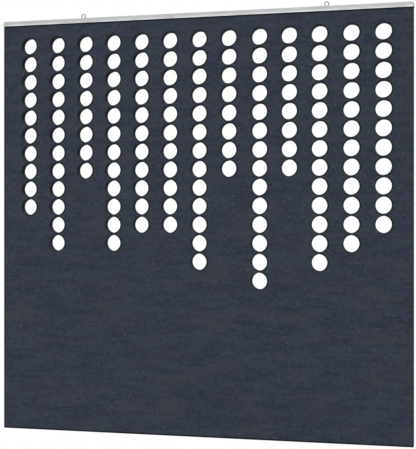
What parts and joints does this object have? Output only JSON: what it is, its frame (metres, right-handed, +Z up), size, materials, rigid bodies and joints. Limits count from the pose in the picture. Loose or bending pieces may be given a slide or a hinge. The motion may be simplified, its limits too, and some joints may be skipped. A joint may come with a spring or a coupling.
{
  "type": "hanging acoustic panel",
  "caption": "Square pressed-felt sound-absorbing panel with columns of round holes, hung by ring eyes from an aluminium rail.",
  "frame": {"origin": "midway between the two hanging eyes, at the height of their rings' centres and half way through the felt", "axes": "+X along the rail to the right seen from the front, +Y from the front face to the back, +Z up"},
  "size_m": [1.201, 0.033, 1.2172],
  "materials": {
    "felt": "dark blue-grey pressed polyester felt, matt, finely mottled with paler fibres",
    "rail_aluminium": "satin natural-anodised extrusion with fine lines along its length",
    "eye_steel": "zinc-plated forged steel, softly shiny",
    "zinc_steel": "bright zinc-plated steel"
  },
  "bodies": {
    "panel": {"felt_panel": "felt", "top_rail": "rail_aluminium", "left_eye_washer": "zinc_steel", "right_eye_washer": "zinc_steel", "rail_screws": "zinc_steel"},
    "left_eye": {"left_eye_bolt": "eye_steel", "left_lock_nut": "zinc_steel"},
    "right_eye": {"right_eye_bolt": "eye_steel", "right_lock_nut": "zinc_steel"}
  },
  "joints": [
    {"name": "left_eye_swivel", "type": "hinge", "parent": "panel", "child": "left_eye", "pos_m": [-0.3577, 0, 0], "axis": [0, 0, 1], "continuous": true},
    {"name": "right_eye_swivel", "type": "hinge", "parent": "panel", "child": "right_eye", "pos_m": [0.3577, 0, 0], "axis": [0, 0, 1], "continuous": true}
  ]
}
